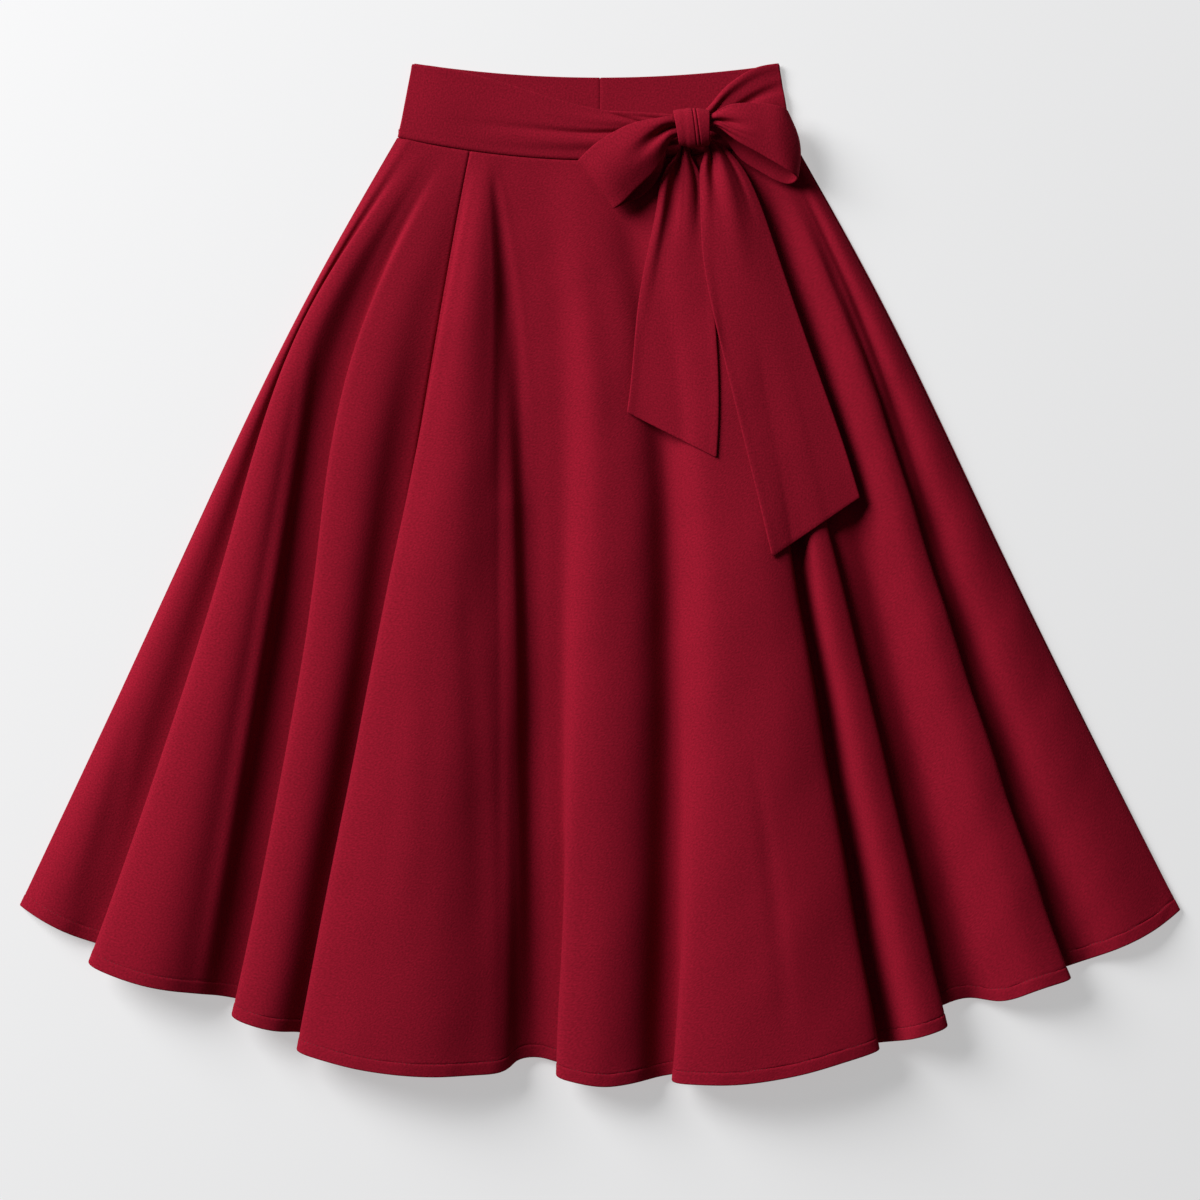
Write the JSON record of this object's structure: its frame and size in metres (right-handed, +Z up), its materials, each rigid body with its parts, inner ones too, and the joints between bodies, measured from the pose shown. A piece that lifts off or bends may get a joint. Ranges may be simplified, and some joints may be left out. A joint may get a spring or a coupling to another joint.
{
  "type": "flared midi skirt with a tie bow, laid flat",
  "caption": "Flared midi skirt laid flat, its cloth in deep soft folds to a curved hem, with a wide waistband and a tie knotted into a bow at one side.",
  "frame": {"origin": "middle of the garment's outline, on the surface that it lies on", "axes": "+Z up out of the front, +Y towards the waist, +X towards the side with the bow, to the right when seen from above"},
  "size_m": [0.9865, 0.867, 0.0408],
  "materials": {
    "crepe": "matte"
  },
  "bodies": {
    "root": {"back_panel_left": "crepe", "back_panel_right": "crepe", "front_side_left": "crepe", "front_centre": "crepe", "front_side_right": "crepe", "waistband_back_left": "crepe", "waistband_back_right": "crepe", "waistband_front_left": "crepe", "waistband_front_right": "crepe", "tie_tail_short": "crepe", "tie_tail_long": "crepe", "bow_loop_left": "crepe", "bow_loop_right": "crepe", "bow_knot": "crepe"}
  },
  "joints": []
}
